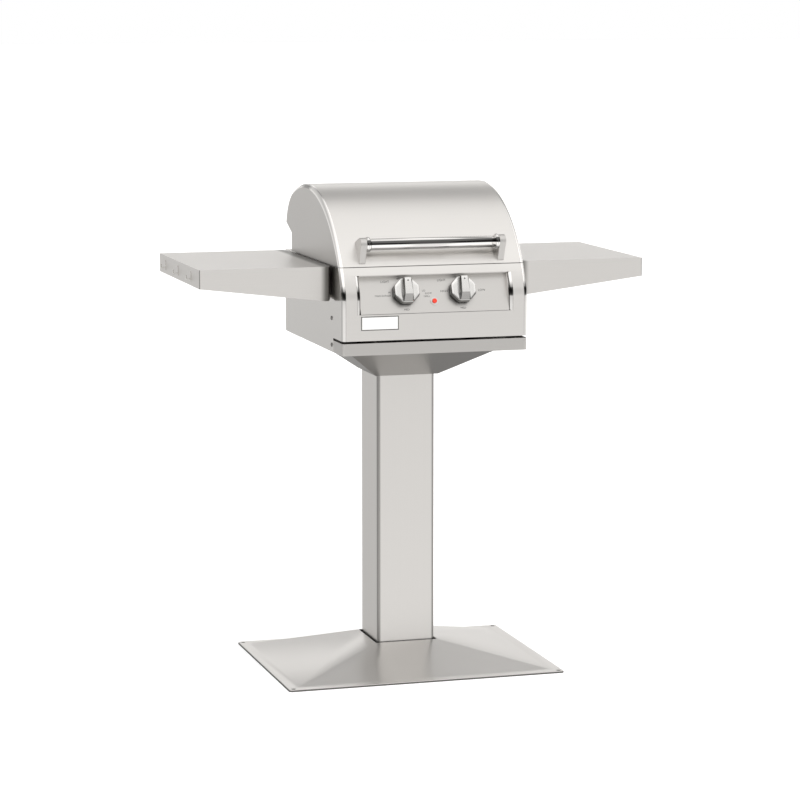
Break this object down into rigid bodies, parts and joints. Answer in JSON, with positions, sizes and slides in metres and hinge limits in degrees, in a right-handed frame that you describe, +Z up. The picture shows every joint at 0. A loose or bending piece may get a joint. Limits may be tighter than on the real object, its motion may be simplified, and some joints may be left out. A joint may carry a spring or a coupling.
{
  "type": "post-mounted gas grill",
  "caption": "Stainless gas grill on a square post, with hinged hood, recessed burner knobs, pull-out drip tray and fold-down side shelves.",
  "frame": {"origin": "centre of the base plate's underside, on the post's axis", "axes": "+X to the right of someone facing the controls, +Y to the back, +Z up; the controls and the handle face -Y"},
  "size_m": [1.0358, 0.5539, 1.093],
  "materials": {
    "brushed_stainless": "brushed along its length",
    "polished_stainless": "polished",
    "bracket_steel": "plain",
    "heat_steel": "satin, heat tinted",
    "bright_wire": "drawn wire",
    "fastener_steel": "plain",
    "gas_pipe_steel": "satin",
    "valve_brass": "machined",
    "igniter_black": "gloss",
    "igniter_red": "gloss"
  },
  "bodies": {
    "stand": {"base_plate": "brushed_stainless", "base_cover": "brushed_stainless", "post_tube": "brushed_stainless", "post_foot_flange": "bracket_steel", "post_foot_bolts": "fastener_steel", "post_head_plate": "bracket_steel", "post_head_bolts": "fastener_steel", "flare_cover": "brushed_stainless", "firebox_floor": "brushed_stainless", "firebox_left_side": "brushed_stainless", "firebox_right_side": "brushed_stainless", "firebox_rear_panel": "brushed_stainless", "firebox_liner": "heat_steel", "liner_ledges": "heat_steel", "side_screws": "fastener_steel", "control_panel": "brushed_stainless", "knob_panel": "brushed_stainless", "panel_trims": "polished_stainless", "recess_trims": "polished_stainless", "badge_plate": "polished_stainless", "gas_pipe": "gas_pipe_steel", "manifold": "gas_pipe_steel", "left_valve": "valve_brass", "right_valve": "valve_brass", "igniter_housing": "igniter_black", "left_burner": "heat_steel", "right_burner": "heat_steel", "left_flame_tamer": "heat_steel", "right_flame_tamer": "heat_steel", "left_cooking_grid": "bright_wire", "right_cooking_grid": "bright_wire", "warming_rack": "bright_wire", "tray_rails": "bracket_steel", "hinge_fixed_leaves": "bracket_steel", "hinge_pins": "fastener_steel", "shelf_brackets": "bracket_steel", "shelf_rods": "fastener_steel"},
    "lid": {"lid_skin": "brushed_stainless", "lid_liner": "heat_steel", "lid_left_cap": "brushed_stainless", "lid_right_cap": "brushed_stainless", "lid_trims": "polished_stainless", "handle_bar": "polished_stainless", "handle_rings": "polished_stainless", "handle_brackets": "polished_stainless", "hinge_lid_leaves": "bracket_steel"},
    "drip_tray": {"drip_tray": "heat_steel", "tray_front": "brushed_stainless"},
    "left_shelf": {"left_shelf": "brushed_stainless", "left_tool_hooks": "bright_wire"},
    "right_shelf": {"right_shelf": "brushed_stainless", "right_tool_hooks": "bright_wire"},
    "left_collar": {"left_push_collar": "fastener_steel"},
    "right_collar": {"right_push_collar": "fastener_steel"},
    "left_knob": {"left_knob": "polished_stainless", "left_valve_stem": "fastener_steel"},
    "right_knob": {"right_knob": "polished_stainless", "right_valve_stem": "fastener_steel"},
    "igniter_button": {"igniter_button": "igniter_red"}
  },
  "joints": [
    {"name": "lid_open", "type": "hinge", "parent": "stand", "child": "lid", "pos_m": [0, 0.148, 0.936], "axis": [-1, 0, 0], "range_deg": [0, 75]},
    {"name": "tray_slide", "type": "slide", "parent": "stand", "child": "drip_tray", "axis": [0, -1, 0], "range_m": [0, 0.25]},
    {"name": "left_shelf_fold", "type": "hinge", "parent": "stand", "child": "left_shelf", "pos_m": [-0.232, 0, 0.868], "axis": [0, -1, 0], "range_deg": [0, 90]},
    {"name": "right_shelf_fold", "type": "hinge", "parent": "stand", "child": "right_shelf", "pos_m": [0.232, 0, 0.868], "axis": [0, 1, 0], "range_deg": [0, 90]},
    {"name": "left_knob_push", "type": "slide", "parent": "stand", "child": "left_collar", "axis": [0, 0.9205, -0.3907], "range_m": [0, 0.003], "stiffness_N_per_m": 1500, "springref_m": -0.003},
    {"name": "left_knob_turn", "type": "hinge", "parent": "left_collar", "child": "left_knob", "pos_m": [-0.064, -0.27282, 0.875], "axis": [0, -0.9205, 0.3907], "range_deg": [0, 225]},
    {"name": "right_knob_push", "type": "slide", "parent": "stand", "child": "right_collar", "axis": [0, 0.9205, -0.3907], "range_m": [0, 0.003], "stiffness_N_per_m": 1500, "springref_m": -0.003},
    {"name": "right_knob_turn", "type": "hinge", "parent": "right_collar", "child": "right_knob", "pos_m": [0.064, -0.27282, 0.875], "axis": [0, -0.9205, 0.3907], "range_deg": [0, 225]},
    {"name": "igniter_push", "type": "slide", "parent": "stand", "child": "igniter_button", "axis": [0, 0.9205, -0.3907], "range_m": [0, 0.0035], "stiffness_N_per_m": 900, "springref_m": -0.002}
  ]
}
